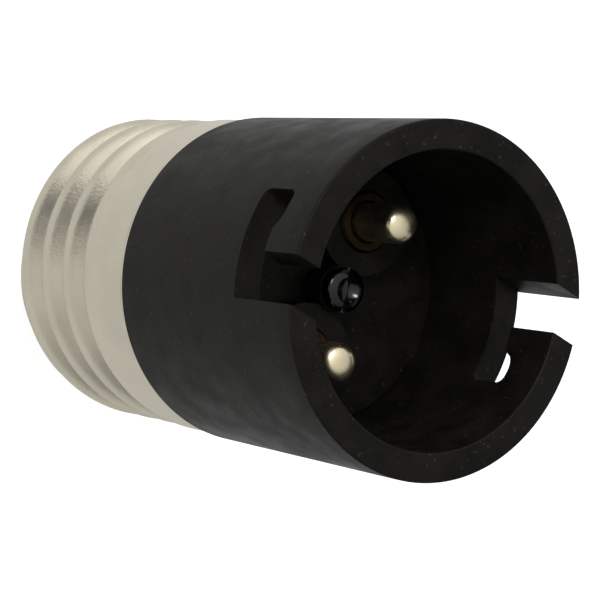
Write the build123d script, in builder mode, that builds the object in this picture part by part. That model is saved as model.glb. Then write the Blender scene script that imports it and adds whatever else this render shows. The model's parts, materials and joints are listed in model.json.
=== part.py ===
from build123d import *
from math import cos, radians, sin, sqrt
import os

# Lamp socket adapter: an Edison screw end at the bottom and a bayonet lamp socket on top.
# Origin: centre of the flat centre contact. +Z: along the axis, out of the bayonet mouth.
# X: direction of the locked lamp pins. Y: line through the two contact plungers. Millimetres.

# Bayonet barrel
overall_height = 48.8
barrel_length = 24.3
mouth_od = 27.5
barrel_taper = 0.4
guide_wall = 2.3
guide_depth = 8.2
guide_step = 0.2
mouth_edge_round = 0.45
mouth_bore_chamfer = 0.35

# J-slots for the lamp pins
slot_width = 3.45
slot_entry_offset = 4.6
slot_floor_depth = 7.55
slot_hook_reach = 2.25
pocket_rise = 0.65
pocket_width = 3.3
slot_corner_round = 0.9

# Web and spigot inside the barrel
web_recess = 3.0
web_thickness = 3.0
spigot_wall = 1.8
key_width = 2.0
key_depth = 1.0

# Contact block
block_base_thickness = 2.55
boss_d = 8.7
boss_height = 2.0
pillar_d = 3.8
pillar_height = 2.5
boss_edge_chamfer = 0.3
boss_edge_gap = 0.635
block_clearance = 0.2
key_clearance = 0.15

# Contact plungers
plunger_d = 3.1
plunger_dome = 1.0
plunger_tip_depth = 8.45
collar_d = 3.9
collar_thickness = 0.8
spring_seat_d = 2.1
spring_seat_length = 1.4

# Guide bushes
bush_od = 5.0
bush_rim_height = 0.3
bush_lip = 2.0
bush_flange_d = 6.4
bush_flange_thickness = 0.9
bush_tail = 3.0
guide_clearance = 0.05
collar_clearance = 0.08
bush_hole_clearance = 0.1
bush_fit = 0.02
bush_rim_chamfer = 0.2

# Plunger springs
spring_wire_d = 0.4
spring_turns = 5
spring_side_gap = 0.1
spring_end_gap = 0.02

# Screw through the block, and its nut
screw_d = 2.5
screw_head_d = 3.6
screw_head_height = 1.3
screw_slot_width = 0.6
screw_slot_depth = 0.55
screw_slot_turn = 18
screw_head_round = 0.35
screw_hole_clearance = 0.1
screw_end_proud = 0.5
nut_across_flats = 5.0
nut_thickness = 2.0
nut_thread_clearance = 0.02

# Solder tags and wires
tag_thickness = 0.5
tag_ear_width = 1.8
tag_ear_reach = 3.6
wire_inset = 1.0
wire_d = 0.8
wire_gap = 0.02
sleeve_wall = 0.3
sleeve_clearance = 0.03
sleeve_bare_end = 1.0
live_bow_y = 5.2
live_landing_y = 3.4
live_corner_drops = [0.24, 0.56, 0.83]
live_bend_shares = [0.5, 0.3, 0.3]
neutral_bend = 1.4
notch_clearance = 0.25

# Screw shell with rolled thread
thread_pitch = 3.629
thread_depth = 1.05
thread_crest_z = 12.2
thread_overrun = 0.8
ridge_root = 0.2
ridge_half_width = 1.6
ridge_steps = [0.3, 0.65, 0.95]
ridge_end_gap = 0.1
shell_wall = 0.3
band_inset = 0.225
band_proud = 0.125
band_length = 5.1
band_runout = 1.2
band_lip = 0.15
band_lip_height = 0.6
shell_neck_height = 4.4
shell_neck_rise = 1.6
shell_neck_reach = 1.25
shell_floor_width = 0.7
shell_seat_clearance = 0.05

# Tip insulator and centre contact
tip_shoulder_height = 1.5
tip_base_d = 13.0
tip_wall = 1.8
tip_clearance = 0.1
contact_d = 11.0
contact_thickness = 1.2
contact_edge_chamfer = 0.45
contact_shank_d = 3.0
contact_head_d = 4.4
contact_head_height = 0.6
contact_tag_d = 5.6
contact_tag_thickness = 0.4
shank_clearance = 0.1

# Heights and widths worked out from the sizes above
mouth_z = overall_height
rear_z = mouth_z - barrel_length
guide_end_z = mouth_z - guide_depth
web_bottom_z = rear_z + web_recess
web_top_z = web_bottom_z + web_thickness
rear_od = mouth_od - barrel_taper
mouth_bore_d = mouth_od - 2 * guide_wall
inner_bore_d = mouth_bore_d - 2 * guide_step
band_d = rear_od - 2 * band_inset
band_end_z = rear_z - band_length
thread_major_d = band_d - 2 * band_proud
thread_minor_d = thread_major_d - 2 * thread_depth
spigot_end_z = band_end_z
spigot_od = band_d - 2 * shell_wall - 2 * shell_seat_clearance
spigot_id = spigot_od - 2 * spigot_wall
block_base_top_z = web_top_z + block_base_thickness
boss_top_z = block_base_top_z + boss_height
pillar_top_z = block_base_top_z + pillar_height
plunger_y = inner_bore_d / 2 - block_clearance - boss_edge_gap - boss_d / 2
plunger_spacing = 2 * plunger_y
plunger_tip_z = mouth_z - plunger_tip_depth
bush_top_z = boss_top_z + bush_rim_height
bush_bottom_z = web_bottom_z - bush_tail
collar_top_z = bush_top_z - bush_lip - spring_end_gap
collar_bottom_z = collar_top_z - collar_thickness
collar_bore_d = collar_d + 2 * collar_clearance
tag_bottom_z = bush_bottom_z - tag_thickness
contact_top_z = contact_thickness
tip_floor_z = contact_top_z + tip_wall
shell_lip_z = shell_neck_height + shell_wall
tip_top_z = shell_lip_z + tip_shoulder_height
contact_tag_top_z = tip_floor_z + contact_tag_thickness
notch_size = wire_d + 2 * notch_clearance
slot_floor_z = mouth_z - slot_floor_depth
slot_roof_z = slot_floor_z + slot_width
pocket_roof_z = slot_roof_z + pocket_rise
screw_end_z = web_bottom_z - nut_thickness - screw_end_proud
spring_height = collar_bottom_z - bush_bottom_z - 2 * spring_end_gap - spring_wire_d
dome_radius = (plunger_dome**2 + (plunger_d / 2) ** 2) / (2 * plunger_dome)
dome_side = 0.5
dome_drop = (dome_radius - sqrt(dome_radius**2 - (dome_side * plunger_d / 2) ** 2)) / plunger_dome
shank_hole_d = contact_shank_d + 2 * shank_clearance
contact_ear_reach = live_landing_y + wire_inset
neck_centre_r = thread_minor_d / 2 - shell_neck_reach
neck_centre_z = shell_neck_height + shell_neck_rise
shell_mouth_d = 2 * (neck_centre_r - shell_floor_width)
thread_arc = ((thread_pitch / 4) ** 2 + (thread_depth / 2) ** 2) / thread_depth
thread_flank_sine = thread_pitch / 4 / thread_arc
thread_start_z = thread_crest_z - 3 * thread_pitch

# Routes of the two wires, and of the sleeves a bare end shorter at each end
sleeve_bore_d = wire_d + 2 * sleeve_clearance
ear_wire_y = plunger_y - tag_ear_reach + wire_inset
wire_top_z = tag_bottom_z - wire_gap
live_end_z = contact_tag_top_z + wire_gap
live_drop = wire_top_z - live_end_z
live_corner_y = [ear_wire_y, live_bow_y, live_landing_y]
live_corners = [(0, y, wire_top_z - live_drop * share) for y, share in zip(live_corner_y, live_corner_drops)]
live_bends = [live_drop * share for share in live_bend_shares]
live_route = [(0, ear_wire_y, wire_top_z), *live_corners, (0, live_landing_y, live_end_z)]
live_sleeve_route = [
    (0, ear_wire_y, wire_top_z - sleeve_bare_end),
    *live_corners,
    (0, live_landing_y, live_end_z + sleeve_bare_end),
]
neutral_z = spigot_end_z + notch_size / 2
neutral_end_y = band_d / 2 - shell_wall - wire_gap
neutral_route = [(0, -ear_wire_y, wire_top_z), (0, -ear_wire_y, neutral_z), (0, -neutral_end_y, neutral_z)]
neutral_sleeve_route = [
    (0, -ear_wire_y, wire_top_z - sleeve_bare_end),
    (0, -ear_wire_y, neutral_z),
    (0, -(spigot_id / 2 - sleeve_bare_end), neutral_z),
]


# The barrel with its web and spigot, as one turned section
with BuildPart() as adapter_body:
    with BuildSketch(Plane.XZ) as barrel_section:
        with BuildLine():
            Polyline(
                (spigot_id / 2, spigot_end_z),
                (spigot_od / 2, spigot_end_z),
                (spigot_od / 2, rear_z),
                (rear_od / 2, rear_z),
                (mouth_od / 2, mouth_z),
                (mouth_bore_d / 2, mouth_z),
                (mouth_bore_d / 2, guide_end_z),
                (inner_bore_d / 2, guide_end_z),
                (inner_bore_d / 2, web_top_z),
                (0, web_top_z),
                (0, web_bottom_z),
                (spigot_id / 2, web_bottom_z),
                close=True,
            )
        make_face()
    revolve(axis=Axis.Z)
    rim_edges = adapter_body.edges().filter_by(GeomType.CIRCLE).group_by(Axis.Z)[-1].sort_by(SortBy.RADIUS)
    fillet(rim_edges[-1], radius=mouth_edge_round)
    chamfer(rim_edges[0], length=mouth_bore_chamfer)
    # Key rib that stops the contact block turning
    with BuildSketch(Plane.XY.offset(web_top_z)):
        with Locations((inner_bore_d / 2, 0)):
            Rectangle(2 * key_depth, key_width)
    extrude(amount=block_base_thickness)
    # Holes through the web for the bushes and the screw
    with BuildSketch(Plane.XY.offset(web_top_z)):
        with GridLocations(0, plunger_spacing, 1, 2):
            Circle(bush_od / 2 + bush_hole_clearance)
        Circle(screw_d / 2 + screw_hole_clearance)
    extrude(amount=-web_thickness, mode=Mode.SUBTRACT)
    # Notch in the spigot for the neutral wire
    with BuildSketch(Plane.XZ):
        with Locations((0, spigot_end_z)):
            Rectangle(notch_size, 2 * notch_size)
    extrude(amount=spigot_od, mode=Mode.SUBTRACT)
    # J-slots, each cut along X through one side of the wall
    for side in (1, -1):
        slot_plane = Plane(origin=(0, 0, 0), x_dir=(0, side, 0), z_dir=(side, 0, 0))
        with BuildSketch(slot_plane) as slot_sketch:
            with BuildLine():
                Polyline(
                    (slot_entry_offset + slot_width / 2, mouth_z + slot_width),
                    (slot_entry_offset + slot_width / 2, slot_floor_z),
                    (-slot_hook_reach, slot_floor_z),
                    (-slot_hook_reach, pocket_roof_z),
                    (pocket_width - slot_hook_reach, pocket_roof_z),
                    (pocket_width - slot_hook_reach + pocket_rise, slot_roof_z),
                    (slot_entry_offset - slot_width / 2, slot_roof_z),
                    (slot_entry_offset - slot_width / 2, mouth_z + slot_width),
                    close=True,
                )
            make_face()
            hook_corners = slot_sketch.vertices().group_by(Axis.Y)[0 if side > 0 else -1]
            fillet(hook_corners, radius=slot_corner_round)
        extrude(amount=mouth_od, mode=Mode.SUBTRACT)
adapter_body.part.label = "adapter_body"

# Contact block: a disc with two bosses and a centre pillar
with BuildPart() as contact_block:
    with BuildSketch(Plane.XY.offset(web_top_z)):
        Circle(inner_bore_d / 2 - block_clearance)
        with Locations((inner_bore_d / 2, 0)):
            Rectangle(2 * (key_depth + key_clearance), key_width + 2 * key_clearance, mode=Mode.SUBTRACT)
    extrude(amount=block_base_thickness)
    with BuildSketch(Plane.XY.offset(block_base_top_z)):
        with GridLocations(0, plunger_spacing, 1, 2):
            Circle(boss_d / 2)
    extrude(amount=boss_height)
    chamfer(contact_block.edges().group_by(Axis.Z)[-1], length=boss_edge_chamfer)
    with BuildSketch(Plane.XY.offset(block_base_top_z)):
        Circle(pillar_d / 2)
    extrude(amount=pillar_height)
    with BuildSketch(Plane.XY.offset(web_top_z)):
        with GridLocations(0, plunger_spacing, 1, 2):
            Circle(bush_od / 2 + bush_fit)
        Circle(screw_d / 2 + screw_hole_clearance)
    extrude(amount=block_base_thickness + max(boss_height, pillar_height), mode=Mode.SUBTRACT)
    with BuildSketch(Plane.XY.offset(web_top_z)):
        with GridLocations(0, plunger_spacing, 1, 2):
            Circle(bush_flange_d / 2 + bush_fit)
    extrude(amount=bush_flange_thickness, mode=Mode.SUBTRACT)
contact_block.part.label = "contact_block"

# Slotted screw through the pillar
with BuildPart() as block_screw:
    with BuildSketch(Plane.XY.offset(pillar_top_z)):
        Circle(screw_head_d / 2)
    extrude(amount=screw_head_height)
    fillet(block_screw.edges().sort_by(Axis.Z)[-1], radius=screw_head_round)
    with BuildSketch(Plane.XY.offset(pillar_top_z)):
        Circle(screw_d / 2)
    extrude(amount=screw_end_z - pillar_top_z)
    with BuildSketch(Plane.XY.offset(pillar_top_z + screw_head_height)):
        Rectangle(screw_slot_width, 2 * screw_head_d, rotation=screw_slot_turn)
    extrude(amount=-screw_slot_depth, mode=Mode.SUBTRACT)
block_screw.part.label = "block_screw"

with BuildPart() as block_nut:
    with BuildSketch(Plane.XY.offset(web_bottom_z)):
        RegularPolygon(nut_across_flats / 2, 6, major_radius=False)
        Circle(screw_d / 2 + nut_thread_clearance, mode=Mode.SUBTRACT)
    extrude(amount=-nut_thickness)
block_nut.part.label = "block_nut"

# The two sets of plunger, spring, bush and solder tag are alike
plungers = {}
springs = {}
bushes = {}
tags = {}
for name, side in (("live", 1), ("neutral", -1)):
    with BuildPart() as plunger:
        with BuildSketch(Plane.XZ.offset(-side * plunger_y)):
            with BuildLine():
                dome = ThreePointArc(
                    (0, plunger_tip_z),
                    (plunger_d / 2 * dome_side, plunger_tip_z - plunger_dome * dome_drop),
                    (plunger_d / 2, plunger_tip_z - plunger_dome),
                )
                Polyline(
                    dome @ 1,
                    (plunger_d / 2, collar_top_z),
                    (collar_d / 2, collar_top_z),
                    (collar_d / 2, collar_bottom_z),
                    (spring_seat_d / 2, collar_bottom_z),
                    (spring_seat_d / 2, collar_bottom_z - spring_seat_length),
                    (0, collar_bottom_z - spring_seat_length),
                    dome @ 0,
                )
            make_face()
        revolve(axis=Axis((0, side * plunger_y, 0), (0, 0, 1)))
    plunger.part.label = "plunger_" + name
    plungers[name] = plunger

    with BuildPart() as bush:
        with BuildSketch(Plane.XZ.offset(-side * plunger_y)):
            with BuildLine():
                Polyline(
                    (collar_bore_d / 2, bush_bottom_z),
                    (bush_od / 2, bush_bottom_z),
                    (bush_od / 2, web_top_z),
                    (bush_flange_d / 2, web_top_z),
                    (bush_flange_d / 2, web_top_z + bush_flange_thickness),
                    (bush_od / 2, web_top_z + bush_flange_thickness),
                    (bush_od / 2, bush_top_z),
                    (plunger_d / 2 + guide_clearance, bush_top_z),
                    (plunger_d / 2 + guide_clearance, bush_top_z - bush_lip),
                    (collar_bore_d / 2, bush_top_z - bush_lip),
                    close=True,
                )
            make_face()
        revolve(axis=Axis((0, side * plunger_y, 0), (0, 0, 1)))
        rim = bush.edges().filter_by(GeomType.CIRCLE).group_by(Axis.Z)[-1].sort_by(SortBy.RADIUS)
        chamfer(rim[-1], length=bush_rim_chamfer)
    bush.part.label = "bush_" + name
    bushes[name] = bush

    with BuildPart() as spring:
        with BuildLine() as coil:
            Helix(
                pitch=spring_height / spring_turns,
                height=spring_height,
                radius=collar_bore_d / 2 - spring_side_gap - spring_wire_d / 2,
                center=(0, side * plunger_y, bush_bottom_z + spring_end_gap + spring_wire_d / 2),
            )
        with BuildSketch(Plane(origin=coil.line @ 0, z_dir=coil.line % 0)):
            RegularPolygon(spring_wire_d / 2, 6)
        sweep(path=coil.line, is_frenet=True)
    spring.part.label = "spring_" + name
    springs[name] = spring

    with BuildPart() as tag:
        with BuildSketch(Plane.XY.offset(tag_bottom_z)):
            with Locations((0, side * plunger_y)):
                Circle(bush_od / 2)
            with Locations((0, side * (plunger_y - tag_ear_reach / 2))):
                Rectangle(tag_ear_width, tag_ear_reach)
        extrude(amount=tag_thickness)
    tag.part.label = "tag_" + name
    tags[name] = tag

# Live wire, from its tag down to the centre contact
with BuildPart() as lead_live:
    with BuildLine() as live_path:
        FilletPolyline(*live_route, radius=live_bends)
    with BuildSketch(Plane(origin=live_path.line @ 0, z_dir=live_path.line % 0)):
        Circle(wire_d / 2)
    sweep(path=live_path.line)
lead_live.part.label = "lead_live"

with BuildPart() as sleeve_live:
    with BuildLine() as live_sleeve_path:
        FilletPolyline(*live_sleeve_route, radius=live_bends)
    with BuildSketch(Plane(origin=live_sleeve_path.line @ 0, z_dir=live_sleeve_path.line % 0)):
        Circle(sleeve_bore_d / 2 + sleeve_wall)
        Circle(sleeve_bore_d / 2, mode=Mode.SUBTRACT)
    sweep(path=live_sleeve_path.line)
sleeve_live.part.label = "sleeve_live"

# Neutral wire, from its tag out through the spigot's notch to the screw shell
with BuildPart() as lead_neutral:
    with BuildLine() as neutral_path:
        FilletPolyline(*neutral_route, radius=neutral_bend)
    with BuildSketch(Plane(origin=neutral_path.line @ 0, z_dir=neutral_path.line % 0)):
        Circle(wire_d / 2)
    sweep(path=neutral_path.line)
lead_neutral.part.label = "lead_neutral"

with BuildPart() as sleeve_neutral:
    with BuildLine() as neutral_sleeve_path:
        FilletPolyline(*neutral_sleeve_route, radius=neutral_bend)
    with BuildSketch(Plane(origin=neutral_sleeve_path.line @ 0, z_dir=neutral_sleeve_path.line % 0)):
        Circle(sleeve_bore_d / 2 + sleeve_wall)
        Circle(sleeve_bore_d / 2, mode=Mode.SUBTRACT)
    sweep(path=neutral_sleeve_path.line)
sleeve_neutral.part.label = "sleeve_neutral"


def thread_radius(along, inset):
    """Radius of the rolled thread at a distance along the axis from a crest."""
    crest_arc = thread_arc - inset
    root_arc = thread_arc + inset
    if abs(along) < crest_arc * thread_flank_sine:
        return thread_major_d / 2 - thread_arc + sqrt(crest_arc**2 - along**2)
    return thread_minor_d / 2 + thread_arc - sqrt(root_arc**2 - (thread_pitch / 2 - abs(along)) ** 2)


def thread_ridge(inset):
    """Helical ridge of the thread, its crest drawn as short flats, cut level at both ends."""
    root_r = thread_minor_d / 2 - inset
    upper_half = [(root_r - ridge_root, ridge_half_width)]
    for along in reversed(ridge_steps):
        upper_half.append((thread_radius(along, inset), along))
    lower_half = [(radius, -along) for radius, along in reversed(upper_half)]
    with BuildPart() as ridge:
        with BuildLine() as turns:
            Helix(
                pitch=thread_pitch,
                height=band_end_z + thread_overrun - thread_start_z,
                radius=root_r,
                center=(0, 0, thread_start_z),
            )
        with BuildSketch(Plane(origin=(0, 0, thread_start_z), x_dir=(1, 0, 0), z_dir=(0, -1, 0))):
            with BuildLine():
                Polyline(*upper_half, *lower_half, close=True)
            make_face()
        sweep(path=turns.line, is_frenet=True)
        with BuildSketch(Plane.XY.offset(neck_centre_z + ridge_end_gap + inset)):
            Circle(mouth_od / 2)
            Circle(shell_mouth_d / 2, mode=Mode.SUBTRACT)
        extrude(
            amount=band_end_z - band_runout - neck_centre_z - 2 * (ridge_end_gap + inset),
            mode=Mode.INTERSECT,
        )
    return ridge.part


def shell_form(inset):
    """Solid inside the shell's outer surface, or inside its inner surface for an inset of one wall."""
    root_r = thread_minor_d / 2 - inset
    band_r = band_d / 2 - inset
    neck = []
    for angle in (90, 60, 30, 0):
        across = (shell_neck_reach - inset) * cos(radians(angle))
        down = (shell_neck_rise - inset) * sin(radians(angle))
        neck.append((neck_centre_r + across, neck_centre_z - down))
    ridge = thread_ridge(inset)
    with BuildPart() as form:
        with BuildSketch(Plane.YZ):
            with BuildLine():
                Polyline(
                    (0, shell_neck_height + inset),
                    *neck,
                    (root_r, band_end_z - band_runout),
                    (band_r - band_runout / 3, band_end_z - band_runout * 2 / 3),
                    (band_r, band_end_z),
                    (band_r, rear_z),
                    (0, rear_z),
                    close=True,
                )
            make_face()
        revolve(axis=Axis.Z)
        add(ridge)
    return form.part


# Screw shell: the thin rolled sheet is the outer form less the inner one
shell_outside = shell_form(0)
shell_inside = shell_form(shell_wall)
with BuildPart() as screw_shell:
    add(shell_outside)
    add(shell_inside, mode=Mode.SUBTRACT)
    with BuildSketch(Plane.XZ):
        with BuildLine():
            Polyline(
                (band_d / 2 - shell_wall, rear_z),
                (band_d / 2 + band_lip, rear_z),
                (band_d / 2 + band_lip, rear_z - band_lip_height / 2),
                (band_d / 2, rear_z - band_lip_height),
                (band_d / 2 - shell_wall, rear_z - band_lip_height),
                close=True,
            )
        make_face()
    revolve(axis=Axis.Z)
    with BuildSketch(Plane.XY.offset(shell_neck_height)):
        Circle(shell_mouth_d / 2)
    extrude(amount=2 * shell_wall, mode=Mode.SUBTRACT)
screw_shell.part.label = "screw_shell"

# Tip insulator: a dished cone held in the shell's neck
with BuildPart() as tip_insulator:
    with BuildSketch(Plane.XZ):
        with BuildLine():
            Polyline(
                (shank_hole_d / 2, contact_top_z),
                (tip_base_d / 2, contact_top_z),
                (shell_mouth_d / 2 - tip_clearance, shell_neck_height),
                (shell_mouth_d / 2 - tip_clearance, shell_lip_z),
                (neck_centre_r, shell_lip_z),
                (neck_centre_r, tip_top_z),
                (neck_centre_r - tip_wall, tip_top_z),
                (neck_centre_r - tip_wall, shell_lip_z),
                (tip_base_d / 2 - tip_wall / 2, tip_floor_z),
                (shank_hole_d / 2, tip_floor_z),
                close=True,
            )
        make_face()
    revolve(axis=Axis.Z)
tip_insulator.part.label = "tip_insulator"

# Centre contact: a flat button with its rivet shank rolled over the tag
with BuildPart() as centre_contact:
    with BuildSketch(Plane.XY):
        Circle(contact_d / 2)
    extrude(amount=contact_thickness)
    chamfer(centre_contact.edges().sort_by(Axis.Z)[0], length=contact_edge_chamfer)
    with BuildSketch(Plane.XY.offset(contact_top_z)):
        Circle(contact_shank_d / 2)
    extrude(amount=contact_tag_top_z - contact_top_z)
    with BuildSketch(Plane.XY.offset(contact_tag_top_z)):
        Circle(contact_head_d / 2)
    extrude(amount=contact_head_height)
    chamfer(centre_contact.edges().sort_by(Axis.Z)[-1], length=contact_head_height / 2)
centre_contact.part.label = "centre_contact"

with BuildPart() as contact_tag:
    with BuildSketch(Plane.XY.offset(tip_floor_z)):
        Circle(contact_tag_d / 2)
        with Locations((0, contact_ear_reach / 2)):
            Rectangle(tag_ear_width, contact_ear_reach)
        Circle(shank_hole_d / 2, mode=Mode.SUBTRACT)
    extrude(amount=contact_tag_thickness)
contact_tag.part.label = "contact_tag"

single_pieces = [
    adapter_body,
    contact_block,
    block_screw,
    block_nut,
    lead_live,
    sleeve_live,
    lead_neutral,
    sleeve_neutral,
    screw_shell,
    tip_insulator,
    centre_contact,
    contact_tag,
]
paired_pieces = [piece for pair in (plungers, springs, bushes, tags) for piece in pair.values()]

os.makedirs("parts", exist_ok=True)
for piece in single_pieces + paired_pieces:
    export_step(piece.part, "parts/" + piece.part.label + ".step")
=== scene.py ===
import json
import math

import bmesh
import bpy
from mathutils import Matrix, Vector


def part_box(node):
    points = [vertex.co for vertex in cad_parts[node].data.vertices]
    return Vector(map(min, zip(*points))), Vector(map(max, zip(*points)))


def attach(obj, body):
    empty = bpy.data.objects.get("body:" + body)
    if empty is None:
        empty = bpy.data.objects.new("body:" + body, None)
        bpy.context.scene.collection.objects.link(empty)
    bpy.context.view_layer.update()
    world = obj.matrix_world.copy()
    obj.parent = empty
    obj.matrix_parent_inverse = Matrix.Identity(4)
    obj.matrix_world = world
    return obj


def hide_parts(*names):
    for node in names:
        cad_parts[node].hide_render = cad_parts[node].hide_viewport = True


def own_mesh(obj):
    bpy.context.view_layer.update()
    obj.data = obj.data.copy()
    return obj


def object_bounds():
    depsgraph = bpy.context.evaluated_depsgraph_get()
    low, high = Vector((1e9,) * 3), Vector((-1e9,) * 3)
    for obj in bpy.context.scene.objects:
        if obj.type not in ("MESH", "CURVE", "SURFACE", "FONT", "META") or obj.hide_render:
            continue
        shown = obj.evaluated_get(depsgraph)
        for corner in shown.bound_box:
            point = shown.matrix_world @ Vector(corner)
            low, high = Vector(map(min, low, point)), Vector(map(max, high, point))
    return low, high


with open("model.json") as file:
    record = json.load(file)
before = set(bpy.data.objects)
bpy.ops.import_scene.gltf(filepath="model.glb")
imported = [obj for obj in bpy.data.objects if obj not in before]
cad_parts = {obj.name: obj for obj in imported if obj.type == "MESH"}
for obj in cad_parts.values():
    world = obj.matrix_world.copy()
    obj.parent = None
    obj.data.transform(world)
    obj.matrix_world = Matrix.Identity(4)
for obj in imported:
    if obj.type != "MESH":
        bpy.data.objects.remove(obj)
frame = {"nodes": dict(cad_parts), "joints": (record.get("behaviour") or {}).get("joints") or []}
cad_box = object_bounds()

bl_info = {
    "name": "Lamp Socket Adapter",
    "version": (1, 0, 0),
    "blender": (4, 5, 0),
    "location": "View3D > Sidebar > Adapter",
    "description": "Builds the dressed lamp socket adapter around its packed frame",
    "category": "Object",
}

mm = 0.001
micron = 1e-6
full_turn = 2 * math.pi
sharp_angle = math.radians(35)
axis_up = Vector((0, 0, 1))
plunger_tail = 1.4 * mm


class AdapterSizes(bpy.types.PropertyGroup):
    """Sizes of the dressed pieces"""

    edge_round: bpy.props.FloatProperty(
        name="Edge round", description="Radius of the small rounds on moulded edges",
        default=0.14 * mm, min=0.0, unit="LENGTH", precision=5,
    )
    thread_pitch: bpy.props.FloatProperty(
        name="Thread pitch", description="Rise of the rolled thread in one turn",
        default=3.629 * mm, unit="LENGTH", precision=5,
    )
    thread_major: bpy.props.FloatProperty(
        name="Thread major", description="Diameter over the thread's crests",
        default=26.4 * mm, unit="LENGTH", precision=5,
    )
    thread_minor: bpy.props.FloatProperty(
        name="Thread minor", description="Diameter at the thread's roots",
        default=24.3 * mm, unit="LENGTH", precision=5,
    )
    crest_height: bpy.props.FloatProperty(
        name="Crest height", description="Height of a crest on the side that faces +X",
        default=12.2 * mm, unit="LENGTH", precision=5,
    )
    band_width: bpy.props.FloatProperty(
        name="Band width", description="Diameter of the plain band under the barrel",
        default=26.65 * mm, unit="LENGTH", precision=5,
    )
    sheet: bpy.props.FloatProperty(
        name="Sheet", description="Thickness of the shell's rolled sheet",
        default=0.3 * mm, unit="LENGTH", precision=5,
    )


class AdapterColours(bpy.types.PropertyGroup):
    """Colours of the finishes"""

    moulding: bpy.props.FloatVectorProperty(
        name="Moulding", description="Black moulded barrel and contact block",
        default=(0.0072, 0.0067, 0.0054), size=3, subtype="COLOR", min=0, max=1,
    )
    shell: bpy.props.FloatVectorProperty(
        name="Shell", description="Satin nickel on the screw shell",
        default=(0.555, 0.515, 0.415), size=3, subtype="COLOR", min=0, max=1,
    )
    plunger: bpy.props.FloatVectorProperty(
        name="Plunger", description="Pale polished brass of the contact plungers",
        default=(0.93, 0.82, 0.56), size=3, subtype="COLOR", min=0, max=1,
    )
    # The bush colour is near-black brass: painted shade for the dark inside of the mouth.
    bush: bpy.props.FloatVectorProperty(
        name="Bush", description="Dull turned brass of the bushes",
        default=(0.035, 0.026, 0.013), size=3, subtype="COLOR", min=0, max=1,
    )
    backdrop: bpy.props.FloatVectorProperty(
        name="Backdrop", description="Floor and backdrop",
        default=(0.55, 0.55, 0.55), size=3, subtype="COLOR", min=0, max=1,
    )


class Wire:
    """A value in a node tree. Sums, differences and products of it add Math nodes."""

    def __init__(self, graph, socket):
        self.graph = graph
        self.socket = socket

    def maths(self, operation, first, second):
        return self.graph.node("ShaderNodeMath", {"operation": operation}, {0: first, 1: second})

    def __add__(self, other):
        return self.maths("ADD", self, other)

    def __radd__(self, other):
        return self.maths("ADD", other, self)

    def __sub__(self, other):
        return self.maths("SUBTRACT", self, other)

    def __rsub__(self, other):
        return self.maths("SUBTRACT", other, self)

    def __mul__(self, other):
        return self.maths("MULTIPLY", self, other)

    def __rmul__(self, other):
        return self.maths("MULTIPLY", other, self)


class Graph:
    """Adds nodes to a cleared node tree."""

    def __init__(self, tree):
        self.tree = tree
        tree.nodes.clear()

    def node(self, kind, settings=None, sockets=None, output=0):
        """Adds one node with its settings. A socket takes a number, a colour, a vector or a Wire."""
        made = self.tree.nodes.new(kind)
        for key, value in (settings or {}).items():
            setattr(made, key, value)
        for key, value in (sockets or {}).items():
            if isinstance(value, Wire):
                self.tree.links.new(value.socket, made.inputs[key])
            else:
                made.inputs[key].default_value = value
        return Wire(self, made.outputs[output]) if made.outputs else None

    def noise(self, size, detail=2.0):
        """Smooth noise over the piece, from 0 to 1, whose lumps are about that size in metres."""
        place = self.node("ShaderNodeTexCoord", output="Object")
        return self.node("ShaderNodeTexNoise", {}, {"Vector": place, "Scale": 1 / size, "Detail": detail})

    def ramp(self, value, low, high):
        """Rises from 0, where the value is low, to 1, where it is high."""
        return self.node("ShaderNodeMapRange", {}, {"Value": value, "From Min": low, "From Max": high})

    def blend(self, share, first, second):
        """Mixes two colours, each written out or wired, by a colour Mix node's numbered sockets."""
        first, second = (end if isinstance(end, Wire) else (*end, 1) for end in (first, second))
        sockets = {0: share, 6: first, 7: second}
        return self.node("ShaderNodeMix", {"data_type": "RGBA"}, sockets, output=2)

    def ray(self, kind):
        """1 for a ray of that kind and 0 for any other."""
        return self.node("ShaderNodeLightPath", output=kind)

    def towards(self, direction, target):
        """How far a direction agrees with a target vector: 1 along it and -1 against it."""
        sockets = {0: direction, 1: tuple(target)}
        return self.node("ShaderNodeVectorMath", {"operation": "DOT_PRODUCT"}, sockets, output="Value")


def finish_of(
    name, dark, light, roughness, metallic, patch, grain, depth, swing=0.1, speck=None, **constants,
):
    """Makes a finish from two shades in patches, with a roughness that swings, specks and a fine bump."""
    patch_low, patch_high = 0.35, 0.65
    speck_low, speck_high = 0.66, 0.74
    speck_size = 0.8 * grain
    material = bpy.data.materials.new(name)
    material.use_nodes = True
    graph = Graph(material.node_tree)
    patches = graph.ramp(graph.noise(patch, detail=4.0), patch_low, patch_high)
    fine = graph.noise(grain)
    bump = graph.node("ShaderNodeBump", {}, {"Height": fine, "Strength": 1.0, "Distance": depth})
    tone = graph.blend(patches, dark, light)
    if speck:
        tone = graph.blend(graph.ramp(graph.noise(speck_size), speck_low, speck_high), tone, speck)
    sockets = {
        "Base Color": tone,
        "Roughness": roughness - swing / 2 + patches * swing,
        "Metallic": metallic,
        "Normal": bump,
        **constants,
    }
    shader = graph.node("ShaderNodeBsdfPrincipled", {}, sockets)
    graph.node("ShaderNodeOutputMaterial", {}, {"Surface": shader})
    return material


def shaded(colour, share):
    """A colour made darker by a share below 1, or lighter by one above it."""
    return tuple(channel * share for channel in colour)


def begin(name, slot, material, *nodes):
    """An empty mesh object at the origin that stands for the nodes."""
    piece = bpy.data.objects.new(name, bpy.data.meshes.new(name))
    bpy.context.scene.collection.objects.link(piece)
    piece.data.materials.append(material)
    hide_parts(*nodes)
    return piece


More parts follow.
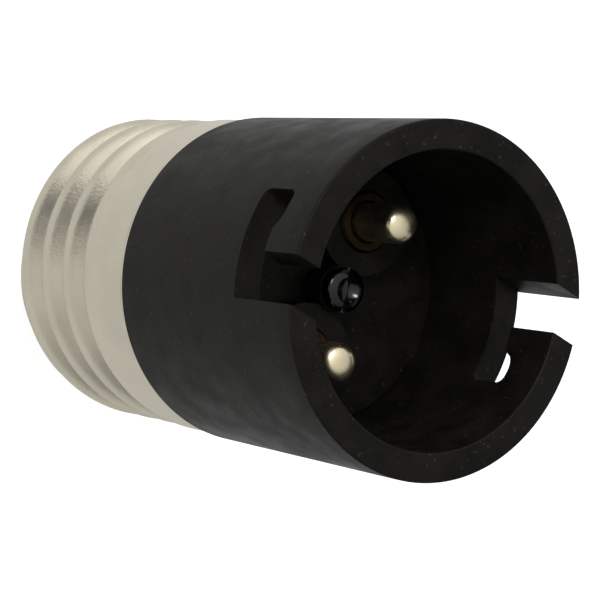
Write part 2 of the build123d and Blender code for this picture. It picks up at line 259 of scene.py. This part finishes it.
def complete(piece, mesh, body, smooth_below=sharp_angle):
    """Writes the mesh into its piece, marks its sharp edges and lets it ride on its body."""
    mesh.normal_update()
    for face in mesh.faces:
        face.smooth = True
    for edge in mesh.edges:
        edge.smooth = len(edge.link_faces) == 2 and edge.calc_face_angle(0) < smooth_below
    mesh.to_mesh(piece.data)
    mesh.free()
    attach(piece, body)


def sharp_edges(mesh):
    """Edges whose two faces meet at more than the sharp angle."""
    return [edge for edge in mesh.edges if edge.is_manifold and edge.calc_face_angle(0) > sharp_angle]


def round_edges(mesh, edges, radius, segments=3):
    """Rounds edges with a bevel."""
    bmesh.ops.bevel(
        mesh, geom=edges, offset=radius, offset_type="OFFSET", segments=segments,
        profile=0.5, affect="EDGES", clamp_overlap=True, material=-1,
    )


def line_of(mesh, points):
    """A run of edges through points."""
    verts = [mesh.verts.new(point) for point in points]
    edges = [mesh.edges.new(pair) for pair in zip(verts, verts[1:])]
    return verts + edges


def turned(points, centre=(0, 0), steps=96, closed=False):
    """A solid turned from its (radius, height) section about an upright line through centre."""
    mesh = bmesh.new()
    section = [Vector((centre[0] + radius, centre[1], height)) for radius, height in points]
    if closed:
        section.append(section[0])
    geom = line_of(mesh, section)
    bmesh.ops.spin(
        mesh, geom=geom, cent=(*centre, 0), axis=axis_up, dvec=(0, 0, 0),
        angle=full_turn, steps=steps, use_merge=True,
    )
    bmesh.ops.remove_doubles(mesh, verts=mesh.verts[:], dist=micron)
    bmesh.ops.dissolve_degenerate(mesh, edges=mesh.edges[:], dist=0.1 * micron)
    bmesh.ops.recalc_face_normals(mesh, faces=mesh.faces[:])
    return mesh


def merged_copy(node, radius=0.0):
    """A merged copy of a CAD node's mesh, its flat faces joined up and its sharp edges rounded."""
    mesh = bmesh.new()
    mesh.from_mesh(frame["nodes"][node].data)
    bmesh.ops.remove_doubles(mesh, verts=mesh.verts[:], dist=2 * micron)
    flat_angle = math.radians(0.5)
    bmesh.ops.dissolve_limit(
        mesh, angle_limit=flat_angle, use_dissolve_boundaries=False,
        verts=mesh.verts[:], edges=mesh.edges[:],
    )
    if radius:
        round_edges(mesh, sharp_edges(mesh), radius)
    return mesh


def post(mesh, centre, radius, low, high, segments=48):
    """Adds an upright round post to a mesh."""
    bmesh.ops.create_cone(
        mesh, cap_ends=True, segments=segments, radius1=radius, radius2=radius, depth=high - low,
        matrix=Matrix.Translation((*centre, (low + high) / 2)),
    )


def block(mesh, low, high):
    """Adds a box between two corners to a mesh."""
    low, high = Vector(low), Vector(high)
    shape = Matrix.Translation((low + high) / 2) @ Matrix.Diagonal((*(high - low), 1))
    bmesh.ops.create_cube(mesh, size=1, matrix=shape)


def combined(first, second, operation):
    """The first mesh with the second cut away from it or joined to it."""
    pair = []
    for mesh in (first, second):
        data = bpy.data.meshes.new("shape")
        mesh.to_mesh(data)
        mesh.free()
        shape = bpy.data.objects.new("shape", data)
        bpy.context.scene.collection.objects.link(shape)
        pair.append(shape)
    step = pair[0].modifiers.new("step", "BOOLEAN")
    step.operation = operation
    step.solver = "EXACT"
    step.object = pair[1]
    evaluated = pair[0].evaluated_get(bpy.context.evaluated_depsgraph_get())
    result = bmesh.new()
    result.from_mesh(evaluated.to_mesh())
    for shape in pair:
        bpy.data.meshes.remove(shape.data)
    bmesh.ops.remove_doubles(result, verts=result.verts[:], dist=0.5 * micron)
    return result


def soften(piece, radius):
    """Rounds the piece's sharp edges with a live bevel."""
    bevel = piece.modifiers.new("edge_rounds", "BEVEL")
    bevel.width = radius
    bevel.segments = 3
    bevel.limit_method = "ANGLE"
    bevel.angle_limit = sharp_angle
    bevel.use_clamp_overlap = True
    bevel.harden_normals = True
    bevel.miter_outer = "MITER_ARC"


def black_moulding(context):
    """Satin black moulding with faint pale specks, made once."""
    name = "satin_black_moulding"
    made = bpy.data.materials.get(name)
    if made:
        return made
    colour = tuple(context.scene.adapter_colours.moulding)
    return finish_of(
        name, shaded(colour, 0.75), shaded(colour, 1.3), roughness=0.45, metallic=0.0,
        patch=2.5 * mm, grain=0.45 * mm, depth=0.012 * mm, swing=0.14, speck=shaded(colour, 4),
        **{"Specular IOR Level": 0.08},
    )


def plunger_places():
    """Where the two plungers stand along Y, one each side of the adapter's line."""
    low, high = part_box("plunger_live")
    middle = (low.y + high.y) / 2
    return middle, -middle


class ADAPTER_OT_barrel(bpy.types.Operator):
    """Moulded barrel with its J-slots, web and spigot"""

    bl_idname = "adapter.barrel"
    bl_label = "Barrel"
    bore_radius = 11.25 * mm

    def execute(self, context):
        low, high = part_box("adapter_body")
        block_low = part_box("contact_block")[0].z
        shell_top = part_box("screw_shell")[1].z
        mouth = high.z
        barrel = turned(self.section(low.z, block_low, shell_top, mouth, high.x), closed=True, steps=144)

        rib = bmesh.new()
        rib_side = 1 * mm
        rib_inside = self.bore_radius - 1 * mm
        rib_outside = self.bore_radius + 1 * mm
        rib_bottom = block_low - 0.5 * mm
        rib_top = block_low + 2.55 * mm
        block(rib, (rib_inside, -rib_side, rib_bottom), (rib_outside, rib_side, rib_top))
        barrel = combined(barrel, rib, "UNION")

        cutter = bmesh.new()
        hole_bottom = block_low - 4 * mm
        hole_top = block_low + 0.2 * mm
        bush_hole = 2.6 * mm
        screw_hole = 1.35 * mm
        for y in plunger_places():
            post(cutter, (0, y), bush_hole, hole_bottom, hole_top)
        post(cutter, (0, 0), screw_hole, hole_bottom, hole_top)
        notch_side = 0.65 * mm
        notch_outside = -15 * mm
        notch_inside = -10 * mm
        notch_bottom = low.z - 1 * mm
        notch_top = low.z + 1.3 * mm
        block(cutter, (-notch_side, notch_outside, notch_bottom), (notch_side, notch_inside, notch_top))
        self.slots(cutter, mouth)
        barrel = combined(barrel, cutter, "DIFFERENCE")

        piece = begin("dressed_adapter_body", "moulding", black_moulding(context), "adapter_body")
        complete(piece, barrel, "adapter")
        soften(piece, context.scene.adapter_sizes.edge_round)
        return {"FINISHED"}

    def section(self, bottom, block_low, shell_top, mouth, mouth_radius):
        """The barrel's section: spigot, tapered outside, rounded rim, stepped bore and web."""
        rear_radius = 13.55 * mm
        guide_radius = 11.45 * mm
        guide_end = mouth - 8.2 * mm
        guide_taper = 1 * mm
        web_bottom = block_low - 3 * mm
        spigot_outside = 12.975 * mm
        spigot_inside = 11.175 * mm
        rim_round = 0.2 * mm
        bore_chamfer = 0.1 * mm
        section = [(spigot_inside, bottom), (spigot_outside, bottom), (spigot_outside, shell_top)]

        # Rings along the tapered wall keep its shading even.
        rings = 10
        for ring in range(rings):
            share = ring / rings
            height = shell_top + (mouth - rim_round - shell_top) * share
            section.append((rear_radius + (mouth_radius - rear_radius) * share, height))

        steps = 6
        for step in range(steps + 1):
            angle = math.pi / 2 * step / steps
            across = mouth_radius - rim_round * (1 - math.cos(angle))
            section.append((across, mouth - rim_round * (1 - math.sin(angle))))
        section += [
            (guide_radius + bore_chamfer, mouth), (guide_radius, mouth - bore_chamfer),
            (guide_radius, guide_end + guide_taper), (self.bore_radius, guide_end),
            (self.bore_radius, block_low), (0, block_low), (0, web_bottom), (spigot_inside, web_bottom),
        ]
        return section

    def slots(self, cutter, mouth):
        """Adds the two J-shaped slot cutters, one half a turn from the other."""
        width = 3.45 * mm
        entry = 4.6 * mm
        floor = mouth - 7.55 * mm
        roof = floor + width
        roof_fall = 2.4 * mm
        hook = -2.25 * mm
        hook_round = 1.5 * mm
        hook_fall = 0.9 * mm
        pocket = 0.65 * mm
        pocket_fall = 1 * mm
        brow = hook + 2.3 * mm
        brow_slope = 1.1 * mm
        brow_round = 0.7 * mm
        wall_inside = 8 * mm
        wall_outside = 14 * mm
        outline = [
            (entry + width / 2, mouth + width), (entry + width / 2, floor), (hook, floor),
            (hook, roof + pocket), (brow, roof + pocket), (brow + brow_slope, roof),
            (entry - width / 2, roof), (entry - width / 2, mouth + width),
        ]
        for angle in (0, math.pi):
            mesh = bmesh.new()
            face = mesh.faces.new([mesh.verts.new((wall_outside, y, z)) for y, z in outline])
            made = bmesh.ops.extrude_face_region(mesh, geom=[face])["geom"]
            inner = [item for item in made if isinstance(item, bmesh.types.BMVert)]
            bmesh.ops.translate(mesh, vec=(wall_inside - wall_outside, 0, 0), verts=inner)

            # Towards the bore the roof and the pocket fall, and the hook is shorter.
            for vert in inner:
                if floor + micron < vert.co.z < mouth:
                    vert.co.z -= pocket_fall if vert.co.z > roof + pocket / 2 else roof_fall
                if vert.co.y < hook + micron:
                    vert.co.y += hook_fall
            through = [edge for edge in mesh.edges if abs(edge.verts[0].co.x - edge.verts[1].co.x) > micron]
            corners = [edge for edge in through if all(vert.co.y < brow - micron for vert in edge.verts)]
            brows = [edge for edge in through if all(abs(vert.co.y - brow) < micron for vert in edge.verts)]
            round_edges(mesh, brows, brow_round, segments=6)
            round_edges(mesh, corners, hook_round, segments=8)
            bmesh.ops.recalc_face_normals(mesh, faces=mesh.faces[:])
            bmesh.ops.transform(mesh, matrix=Matrix.Rotation(angle, 4, "Z"), verts=mesh.verts[:])
            data = bpy.data.meshes.new("slot")
            mesh.to_mesh(data)
            mesh.free()
            cutter.from_mesh(data)
            bpy.data.meshes.remove(data)


class ADAPTER_OT_block(bpy.types.Operator):
    """Contact block with its two bosses and centre pillar"""

    bl_idname = "adapter.block"
    bl_label = "Contact Block"

    def execute(self, context):
        low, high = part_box("contact_block")
        radius = high.y
        base_top = low.z + 2.55 * mm
        boss_top = base_top + 2 * mm
        boss_radius = 4.35 * mm
        pillar_radius = 1.9 * mm
        bush_hole = 2.52 * mm
        flange_hole = 3.22 * mm
        flange_top = low.z + 0.9 * mm
        screw_hole = 1.35 * mm
        keyway_depth = 10.2 * mm
        keyway_side = 1.03 * mm
        beyond = 1 * mm
        below = low.z - beyond
        above = high.z + beyond
        sunk = low.z + 1 * mm

        disc = turned([(0, low.z), (radius, low.z), (radius, base_top), (0, base_top)], steps=120)
        bosses = bmesh.new()
        for y in plunger_places():
            post(bosses, (0, y), boss_radius, sunk, boss_top, segments=72)
        disc = combined(disc, bosses, "UNION")
        pillar = bmesh.new()
        post(pillar, (0, 0), pillar_radius, sunk, high.z)
        disc = combined(disc, pillar, "UNION")

        # One cutter mesh holds only shapes that don't overlap, so the flange holes have a second one.
        holes = bmesh.new()
        for y in plunger_places():
            post(holes, (0, y), bush_hole, below, above, segments=64)
        disc = combined(disc, holes, "DIFFERENCE")
        holes = bmesh.new()
        for y in plunger_places():
            post(holes, (0, y), flange_hole, below, flange_top, segments=64)
        post(holes, (0, 0), screw_hole, below, above)
        block(holes, (keyway_depth, -keyway_side, below), (radius + beyond, keyway_side, base_top + beyond))
        disc = combined(disc, holes, "DIFFERENCE")

        piece = begin("dressed_contact_block", "moulding", black_moulding(context), "contact_block")
        complete(piece, disc, "adapter")
        soften(piece, context.scene.adapter_sizes.edge_round)
        return {"FINISHED"}


class ADAPTER_OT_plungers(bpy.types.Operator):
    """Spring-loaded contact plungers and the bushes that guide them"""

    bl_idname = "adapter.plungers"
    bl_label = "Plungers and Bushes"

    def execute(self, context):
        colours = context.scene.adapter_colours
        pale = tuple(colours.plunger)
        shade_dark_bush = tuple(colours.bush)
        plunger_brass = finish_of(
            "polished_pale_brass", shaded(pale, 0.85), pale, roughness=0.3, metallic=1.0,
            patch=1.5 * mm, grain=0.12 * mm, depth=0.001 * mm,
        )
        # The bushes' brass is darkened to near-black: painted shade for the dark inside of the mouth.
        bush_brass = finish_of(
            "brass_darkened_as_painted_shade", shaded(shade_dark_bush, 0.7), shade_dark_bush, roughness=0.42, metallic=1.0,
            patch=1.2 * mm, grain=0.15 * mm, depth=0.002 * mm,
        )
        for side in ("live", "neutral"):
            low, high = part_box("plunger_" + side)
            centre = (0, (low.y + high.y) / 2)
            piece = begin("dressed_plunger_" + side, "plunger_brass", plunger_brass, "plunger_" + side)
            complete(piece, turned(self.plunger_section(low, high), centre), side + "_plunger")
            low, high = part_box("bush_" + side)
            piece = begin("dressed_bush_" + side, "bush_brass", bush_brass, "bush_" + side)
            complete(piece, turned(self.bush_section(low, high), centre, closed=True), "adapter")
        return {"FINISHED"}

    def plunger_section(self, low, high):
        """A plunger's section: thin tail, collar, stem and full rounded tip."""
        tail_radius = 1.05 * mm
        stem_radius = 1.55 * mm
        collar_low = low.z + plunger_tail
        collar_top = collar_low + 0.8 * mm
        tip_height = 1 * mm
        tip_fullness = 2.5
        tip_steps = 16
        section = [
            (0, low.z), (tail_radius, low.z), (tail_radius, collar_low), (high.x, collar_low),
            (high.x, collar_top), (stem_radius, collar_top),
        ]
        for step in range(tip_steps):
            angle = math.pi / 2 * step / tip_steps
            across = math.cos(angle) ** (2 / tip_fullness)
            rise = math.sin(angle) ** (2 / tip_fullness)
            section.append((stem_radius * across, high.z - tip_height * (1 - rise)))
        section.append((0, high.z))
        return section

    def bush_section(self, low, high):
        """A bush's section: tube round the spring, flange on the web and narrow mouth for the stem."""
        outside = 2.5 * mm
        outside_chamfer = 0.2 * mm
        flange_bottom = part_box("contact_block")[0].z
        flange_top = flange_bottom + 0.9 * mm
        mouth_radius = 1.6 * mm
        mouth_chamfer = 0.15 * mm
        mouth_bottom = high.z - 2 * mm
        spring_room = 2.03 * mm
        return [
            (spring_room, low.z), (outside, low.z), (outside, flange_bottom), (high.x, flange_bottom),
            (high.x, flange_top), (outside, flange_top), (outside, high.z - outside_chamfer),
            (outside - outside_chamfer, high.z), (mouth_radius + mouth_chamfer, high.z),
            (mouth_radius, high.z - mouth_chamfer), (mouth_radius, mouth_bottom),
            (spring_room, mouth_bottom),
        ]


class ADAPTER_OT_springs(bpy.types.Operator):
    """Coil springs under the plungers"""

    bl_idname = "adapter.springs"
    bl_label = "Springs"

    def execute(self, context):
        steel = finish_of(
            "bare_spring_wire", (0.42, 0.42, 0.42), (0.55, 0.55, 0.54), roughness=0.3, metallic=1.0,
            patch=1.0 * mm, grain=0.1 * mm, depth=0.001 * mm,
        )
        for side in ("live", "neutral"):
            low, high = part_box("spring_" + side)
            centre = (low + high) / 2
            wire_radius = 0.2 * mm
            turns = 5
            steps = 24 * turns
            rise = high.z - low.z - 2 * wire_radius
            mesh = bmesh.new()
            upright = Matrix.Rotation(math.pi / 2, 4, "X")
            bmesh.ops.create_circle(mesh, segments=10, radius=wire_radius, matrix=upright)
            start = Vector((high.x - wire_radius, centre.y, low.z + wire_radius))
            bmesh.ops.translate(mesh, vec=start, verts=mesh.verts[:])
            bmesh.ops.spin(
                mesh, geom=mesh.verts[:] + mesh.edges[:], cent=centre, axis=axis_up,
                dvec=(0, 0, rise / steps), angle=full_turn * turns, steps=steps,
            )
            bmesh.ops.holes_fill(mesh, edges=[edge for edge in mesh.edges if edge.is_boundary])
            bmesh.ops.recalc_face_normals(mesh, faces=mesh.faces[:])
            piece = begin("dressed_spring_" + side, "spring_steel", steel, "spring_" + side)
            complete(piece, mesh, "adapter")
            joint = side + "_plunger_slide"
            travel = next(max(row["range_m"]) for row in frame["joints"] if row["name"] == joint)
            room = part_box("plunger_" + side)[0].z + plunger_tail - low.z
            1 - travel / room
            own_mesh(piece)
        return {"FINISHED"}


class ADAPTER_OT_fasteners(bpy.types.Operator):
    """Slotted screw through the block, its nut and the brass solder tags"""

    bl_idname = "adapter.fasteners"
    bl_label = "Screw, Nut and Tags"

    def execute(self, context):
        # The screw's steel is darkened to near-black: painted shade for the dark inside of the mouth, so
        # that mostly its glints show.
        steel = finish_of(
            "screw_steel_darkened_as_painted_shade", (0.03, 0.03, 0.029), (0.04, 0.04, 0.039), roughness=0.16, metallic=1.0,
            patch=1.0 * mm, grain=0.1 * mm, depth=0.001 * mm,
        )
        brass = finish_of(
            "plain_stamped_brass", (0.50, 0.37, 0.17), (0.62, 0.47, 0.23), roughness=0.33, metallic=1.0,
            patch=1.5 * mm, grain=0.15 * mm, depth=0.002 * mm,
        )
        screw = begin("dressed_block_screw", "screw_steel", steel, "block_screw")
        complete(screw, self.slotted_screw(), "adapter")
        soften(screw, 0.05 * mm)
        nut = begin("dressed_block_nut", "plain_brass", brass, "block_nut")
        complete(nut, merged_copy("block_nut", radius=0.12 * mm), "adapter")
        for name in ("tag_live", "tag_neutral", "contact_tag"):
            tag = begin("dressed_" + name, "plain_brass", brass, name)
            complete(tag, merged_copy(name, radius=0.06 * mm), "adapter")
        return {"FINISHED"}

    def slotted_screw(self):
        """The screw, whose domed head is dished in the middle and cut by a slot."""
        low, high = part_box("block_screw")
        shank_radius = 1.25 * mm
        head_radius = high.x
        head_bottom = high.z - 1.3 * mm
        dome = 0.5 * mm
        dish_radius = 1.05 * mm
        dish_depth = 0.45 * mm
        dish_angle = math.acos(dish_radius / head_radius)
        dish_top = high.z - dome * (1 - math.sin(dish_angle))
        steps = 8
        outline = [
            (0, low.z), (shank_radius, low.z), (shank_radius, head_bottom), (head_radius, head_bottom),
        ]
        for step in range(steps + 1):
            angle = dish_angle * step / steps
            outline.append((head_radius * math.cos(angle), high.z - dome * (1 - math.sin(angle))))
        for step in range(1, steps + 1):
            share = 1 - step / steps
            outline.append((dish_radius * share, dish_top - dish_depth * (1 - share ** 2)))

        slot = bmesh.new()
        slot_left = -0.22 * mm
        slot_right = 0.3 * mm
        slot_bottom = high.z - 0.55 * mm
        slot_reach = 5 * mm
        slot_turn = Matrix.Rotation(math.radians(18), 3, "Z")
        block(slot, (slot_left, -slot_reach, slot_bottom), (slot_right, slot_reach, high.z + 1 * mm))
        bmesh.ops.rotate(slot, verts=slot.verts[:], matrix=slot_turn)
        return combined(turned(outline, steps=72), slot, "DIFFERENCE")


class ADAPTER_OT_wires(bpy.types.Operator):
    """Wires from the solder tags, with their sleeves"""

    bl_idname = "adapter.wires"
    bl_label = "Wires and Sleeves"

    def execute(self, context):
        copper = finish_of(
            "tinned_copper_wire", (0.55, 0.36, 0.25), (0.70, 0.52, 0.40), roughness=0.35, metallic=1.0,
            patch=1.0 * mm, grain=0.1 * mm, depth=0.002 * mm,
        )
        woven = finish_of(
            "woven_sleeve", (0.55, 0.52, 0.45), (0.72, 0.69, 0.62), roughness=0.75, metallic=0.0,
            patch=0.5 * mm, grain=0.12 * mm, depth=0.03 * mm,
        )
        for side in ("live", "neutral"):
            lead = begin("dressed_lead_" + side, "wire_copper", copper, "lead_" + side)
            complete(lead, merged_copy("lead_" + side), "adapter")
            sleeve = begin("dressed_sleeve_" + side, "sleeve", woven, "sleeve_" + side)
            complete(sleeve, merged_copy("sleeve_" + side), "adapter")
        return {"FINISHED"}


def smooth_share(value, start, end):
    """Rises from 0 at start to 1 at end, gently at both."""
    share = min(1.0, max(0.0, (value - start) / (end - start)))
    return share * share * (3 - 2 * share)


def set_radius(vert, radius):
    """Moves a point level, in or out, to a radius from the adapter's line."""
    share = radius / math.hypot(vert.co.x, vert.co.y)
    vert.co.x *= share
    vert.co.y *= share


class ADAPTER_OT_shell(bpy.types.Operator):
    """Screw shell with its rolled thread, neck and plain band"""

    bl_idname = "adapter.shell"
    bl_label = "Screw Shell"

    def execute(self, context):
        sizes = context.scene.adapter_sizes
        colour = tuple(context.scene.adapter_colours.shell)
        material = finish_of(
            "satin_nickel_plate", shaded(colour, 0.93), shaded(colour, 1.05), roughness=0.34, metallic=1.0,
            patch=5 * mm, grain=0.25 * mm, depth=0.022 * mm, swing=0.08,
        )
        low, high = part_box("screw_shell")
        pitch = sizes.thread_pitch
        major = sizes.thread_major / 2
        minor = sizes.thread_minor / 2
        band = sizes.band_width / 2
        neck_rise = 2.6 * mm
        neck_reach = 2.4 * mm
        mouth = 10.2 * mm
        runout_start = high.z - 7.2 * mm
        runout_end = high.z - 5.3 * mm
        lip_height = 0.6 * mm
        lip_middle = high.z - lip_height / 2
        lip_proud = high.x - band
        crest_fullness = 0.68

        def thread_radius(height):
            """Radius of the rolled thread on the side that faces +X."""
            wave = (1 + math.cos(full_turn * (height - sizes.crest_height) / pitch)) / 2
            return minor + (major - minor) * wave ** crest_fullness

        def shaped(radius, height):
            """Radius of the sheet, drawn in at the neck, swept out to the band and beaded at the lip."""
            if height < low.z + neck_rise:
                drop = (low.z + neck_rise - height) / neck_rise
                radius = min(radius, band - neck_reach * (1 - math.sqrt(max(0.0, 1 - drop * drop))))
            radius += (band - radius) * smooth_share(height, runout_start, runout_end)
            from_lip = abs(lip_middle - height) / (lip_height / 2)
            return radius + lip_proud * math.sqrt(max(0.0, 1 - from_lip * from_lip))

        per_pitch = 18
        below = math.ceil((sizes.crest_height - low.z) / pitch) + 1
        above = math.ceil((high.z - sizes.crest_height) / pitch) + 1
        heights = [
            sizes.crest_height + pitch * step / per_pitch
            for step in range(-below * per_pitch, above * per_pitch + 1)
        ]
        steps = 120
        mesh = bmesh.new()
        geom = line_of(mesh, [(thread_radius(height), 0, height) for height in heights])
        bmesh.ops.spin(
            mesh, geom=geom, cent=(0, 0, 0), axis=axis_up, dvec=(0, 0, pitch / steps),
            angle=full_turn, steps=steps,
        )
        bmesh.ops.remove_doubles(mesh, verts=mesh.verts[:], dist=2 * micron)
        cuts = (
            (low.z, {"clear_inner": True}), (high.z, {"clear_outer": True}),
            (high.z - lip_height, {}), (lip_middle, {}),
        )
        for height, clears in cuts:
            geom = mesh.verts[:] + mesh.edges[:] + mesh.faces[:]
            level = (0, 0, height)
            bmesh.ops.bisect_plane(mesh, geom=geom, dist=micron, plane_co=level, plane_no=axis_up, **clears)
        for vert in mesh.verts:
            set_radius(vert, shaped(math.hypot(vert.co.x, vert.co.y), vert.co.z))

        rim = [edge for edge in mesh.edges if edge.is_boundary and edge.verts[0].co.z < low.z + 0.1 * mm]
        for item in bmesh.ops.extrude_edge_only(mesh, edges=rim)["geom"]:
            if isinstance(item, bmesh.types.BMVert):
                set_radius(item, mouth)
        bmesh.ops.recalc_face_normals(mesh, faces=mesh.faces[:])

        # Recalculated normals of an open sheet can all face inwards.
        outward = sum(face.normal.x * face.calc_center_median().x for face in mesh.faces)
        if outward < 0:
            bmesh.ops.reverse_faces(mesh, faces=mesh.faces[:])
        bmesh.ops.solidify(mesh, geom=mesh.faces[:], thickness=sizes.sheet)
        piece = begin("dressed_screw_shell", "shell_plate", material, "screw_shell")
        complete(piece, mesh, "adapter", smooth_below=math.radians(50))
        return {"FINISHED"}


class ADAPTER_OT_tip(bpy.types.Operator):
    """Tip insulator and the centre contact riveted through it"""

    bl_idname = "adapter.tip"
    bl_label = "Tip"

    def execute(self, context):
        colours = context.scene.adapter_colours
        black = tuple(colours.moulding)
        moulding = finish_of(
            "black_tip_insulator", shaded(black, 0.8), shaded(black, 1.4), roughness=0.45, metallic=0.0,
            patch=3 * mm, grain=0.3 * mm, depth=0.004 * mm,
        )
        nickel = tuple(colours.shell)
        plate = finish_of(
            "nickel_contact_plate", shaded(nickel, 0.92), shaded(nickel, 1.1), roughness=0.3, metallic=1.0,
            patch=2 * mm, grain=0.2 * mm, depth=0.001 * mm,
        )
        tip = begin("dressed_tip_insulator", "tip_moulding", moulding, "tip_insulator")
        complete(tip, merged_copy("tip_insulator", radius=0.12 * mm), "adapter")
        contact = begin("dressed_centre_contact", "contact_plate", plate, "centre_contact")
        complete(contact, merged_copy("centre_contact", radius=0.12 * mm), "adapter")
        return {"FINISHED"}


class ADAPTER_OT_stage(bpy.types.Operator):
    """Floor, world, lamps and camera"""

    bl_idname = "adapter.stage"
    bl_label = "Stage"

    def execute(self, context):
        context.scene.view_settings.view_transform = "Standard"
        self.add_camera(context.scene)
        self.add_floor(context.scene)
        view = context.scene.camera.rotation_euler.to_matrix()
        self.add_world(context.scene, *view.col)
        self.add_lamps(context.scene, *view.col)
        return {"FINISHED"}

    def add_camera(self, scene):
        """Camera that was fitted to the outlines of the barrel and the shell in the photograph."""
        camera = bpy.data.objects.new("photo_camera", bpy.data.cameras.new("photo_camera"))
        scene.collection.objects.link(camera)
        camera.data.sensor_width = 36
        camera.data.lens = 143.38
        camera.data.clip_start = 10 * mm
        camera.data.clip_end = 10
        camera.location = Vector((-103.55, -40.12, 190.10)) * mm
        camera.rotation_euler = [math.radians(angle) for angle in (-5.1007, -34.4651, 29.5080)]
        scene.camera = camera

    def add_floor(self, scene):
        """Pale floor that looks white to the camera and keeps the adapter's shadow."""
        half_width = 1.5
        drop = 0.02 * mm
        seen_glow = 0.80
        mirrored_glow = 0.33
        mesh = bmesh.new()
        bmesh.ops.create_grid(mesh, x_segments=1, y_segments=1, size=half_width)
        floor = bpy.data.objects.new("floor", bpy.data.meshes.new("floor"))
        mesh.to_mesh(floor.data)
        mesh.free()
        floor.location = (0, 0, cad_box[0].z - drop)
        scene.collection.objects.link(floor)
        material = bpy.data.materials.new("pale_floor")
        material.use_nodes = True
        graph = Graph(material.node_tree)
        glow = (graph.ray("Is Camera Ray") + graph.ray("Is Transmission Ray")) * seen_glow
        glow = glow + graph.ray("Is Glossy Ray") * mirrored_glow
        colour = (*scene.adapter_colours.backdrop, 1)
        painted = graph.node("ShaderNodeBsdfDiffuse", {}, {"Color": colour})
        lit = graph.node("ShaderNodeEmission", {}, {"Color": (1, 1, 1, 1), "Strength": glow})
        both = graph.node("ShaderNodeAddShader", {}, {0: painted, 1: lit})
        graph.node("ShaderNodeOutputMaterial", {}, {"Surface": both})
        floor.data.materials.append(material)

    def add_world(self, scene, right, up, back):
        """White to the camera; a soft light from above for the piece, with a dark screen on one side."""
        soft_low = 0.28
        soft_rise = 0.81
        screen_side = (-0.9, 0.43, 0.05)
        screen_dark = 0.9
        world = bpy.data.worlds.new("studio_world")
        scene.world = world
        world.use_nodes = True
        graph = Graph(world.node_tree)
        seen = graph.ray("Is Camera Ray")
        through = graph.ray("Is Transmission Ray")
        direction = graph.node("ShaderNodeTexCoord", output="Generated")
        above = (up * 0.75 + back * 0.6 - right * 0.1).normalized()
        rise = graph.ramp(graph.towards(direction, above), -0.7, 0.9)
        screen = graph.ramp(graph.towards(direction, screen_side), 0.65, 0.88)
        soft = (soft_low + rise * soft_rise) * (1 - screen * screen_dark)
        strength = (seen + through) + (1 - seen) * (1 - through) * soft
        sky = graph.node("ShaderNodeBackground", {}, {"Color": (1, 1, 1, 1), "Strength": strength})
        graph.node("ShaderNodeOutputWorld", {}, {"Surface": sky})

    def add_lamps(self, scene, right, up, back):
        """Wide key lamp above the camera, and a small one that reaches into the mouth."""
        middle = (cad_box[0] + cad_box[1]) / 2
        lamps = (
            ("key_lamp", up * 0.32 + back * 0.10, 0.36, 0.38),
            ("mouth_lamp", up * 0.13 + back * 0.29 + right * 0.04, 0.08, 0.34),
        )
        for name, offset, size, power in lamps:
            lamp = bpy.data.objects.new(name, bpy.data.lights.new(name, "AREA"))
            lamp.data.shape = "DISK"
            lamp.data.size = size
            lamp.data.energy = power
            lamp.location = middle + offset
            lamp.rotation_euler = (-offset).to_track_quat("-Z", "Y").to_euler()
            scene.collection.objects.link(lamp)


class ADAPTER_PT_panel(bpy.types.Panel):
    """Sizes, colours and build steps of the adapter"""

    bl_label = "Lamp Socket Adapter"
    bl_idname = "ADAPTER_PT_panel"
    bl_space_type = "VIEW_3D"
    bl_region_type = "UI"
    bl_category = "Adapter"

    def draw(self, context):
        for group in (context.scene.adapter_sizes, context.scene.adapter_colours):
            for key in group.__annotations__:
                self.layout.prop(group, key)
        for step in build_steps:
            self.layout.operator(step.bl_idname)


build_steps = (
    ADAPTER_OT_barrel,
    ADAPTER_OT_block,
    ADAPTER_OT_plungers,
    ADAPTER_OT_springs,
    ADAPTER_OT_fasteners,
    ADAPTER_OT_wires,
    ADAPTER_OT_shell,
    ADAPTER_OT_tip,
    ADAPTER_OT_stage,
)
classes = (AdapterSizes, AdapterColours, *build_steps, ADAPTER_PT_panel)


def register():
    for item in classes:
        bpy.utils.register_class(item)
    bpy.types.Scene.adapter_sizes = bpy.props.PointerProperty(type=AdapterSizes)
    bpy.types.Scene.adapter_colours = bpy.props.PointerProperty(type=AdapterColours)


def unregister():
    del bpy.types.Scene.adapter_colours
    del bpy.types.Scene.adapter_sizes
    for item in reversed(classes):
        bpy.utils.unregister_class(item)


def main():
    register()
    for step in build_steps:
        group, name = step.bl_idname.split(".")
        getattr(getattr(bpy.ops, group), name)()


if __name__ == "__main__":
    main()
